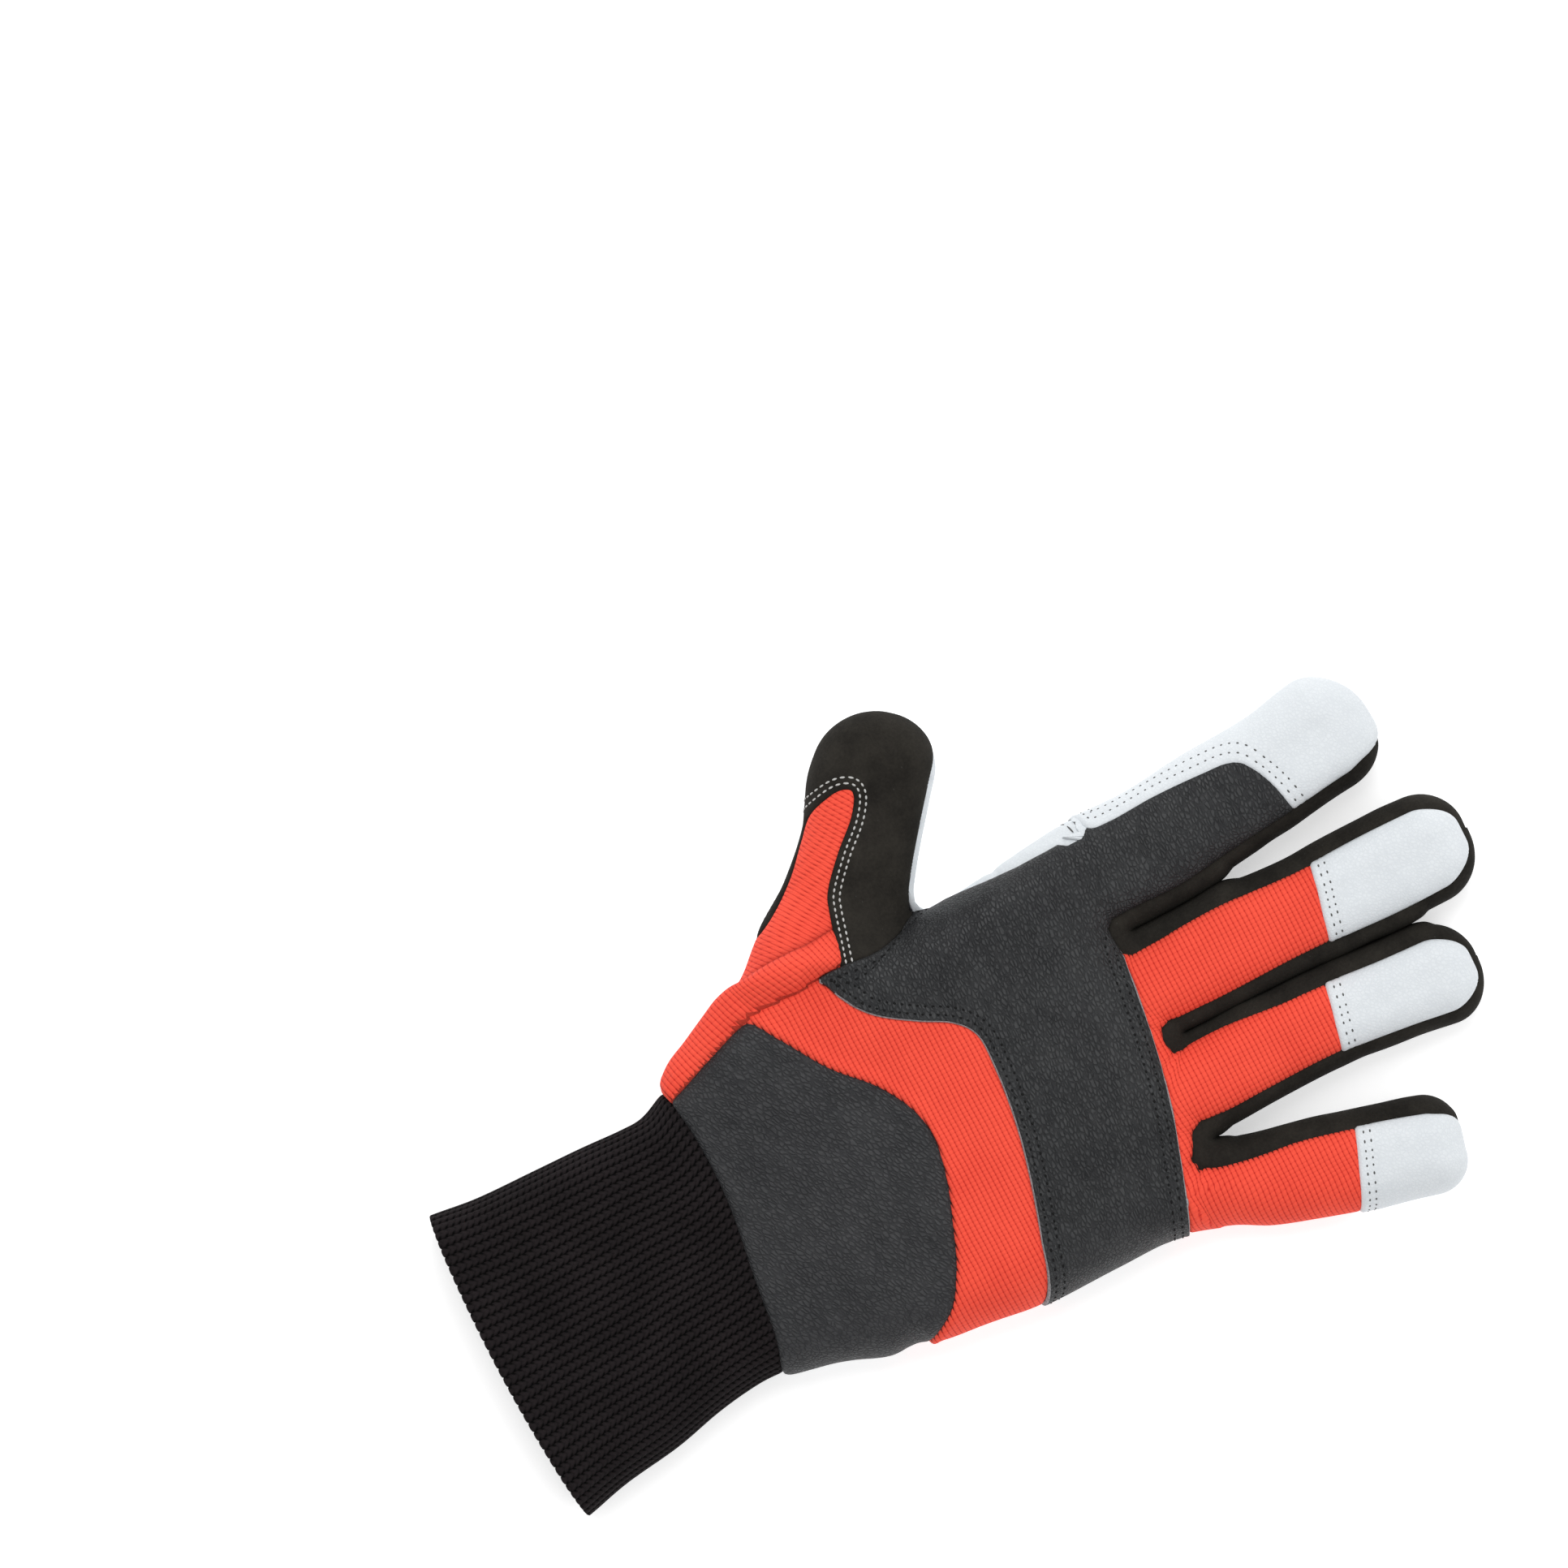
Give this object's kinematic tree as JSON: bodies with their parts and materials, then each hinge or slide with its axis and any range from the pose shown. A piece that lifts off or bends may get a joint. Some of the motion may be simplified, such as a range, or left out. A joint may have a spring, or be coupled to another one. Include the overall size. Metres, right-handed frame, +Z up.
{
  "type": "chainsaw glove",
  "caption": "Leather and knit work glove for chainsaw use, lying palm down, with patched back, white fingertips, quilted palm and rib-knit cuff.",
  "frame": {"origin": "middle of the glove's outline, on the surface that it lies on", "axes": "+Y from the cuff's hem to the fingertips, +X to the little finger, +Z up out of the back of the hand"},
  "size_m": [0.1828, 0.2896, 0.0287],
  "materials": {
    "black_leather": "grained, soft sheen",
    "black_microfibre": "matt brushed microfibre",
    "orange_knit": "ribbed elastic knit",
    "white_leather": "fine grain, matt",
    "black_rib_knit": "rib knit"
  },
  "bodies": {
    "root": {"wrist_patch": "black_leather", "back_band": "orange_knit", "thumb_knit": "orange_knit", "thumb_back": "black_microfibre", "knuckle_patch": "black_leather", "index_wrap": "white_leather", "finger_backs": "orange_knit", "middle_tip": "white_leather", "ring_tip": "white_leather", "little_tip": "white_leather", "thumb_front": "white_leather", "palm_front": "white_leather", "palm_patch": "white_leather", "fourchette_index_middle": "black_microfibre", "fourchette_middle_ring": "black_microfibre", "fourchette_ring_little": "black_microfibre", "cuff_rib": "black_rib_knit"}
  },
  "joints": []
}
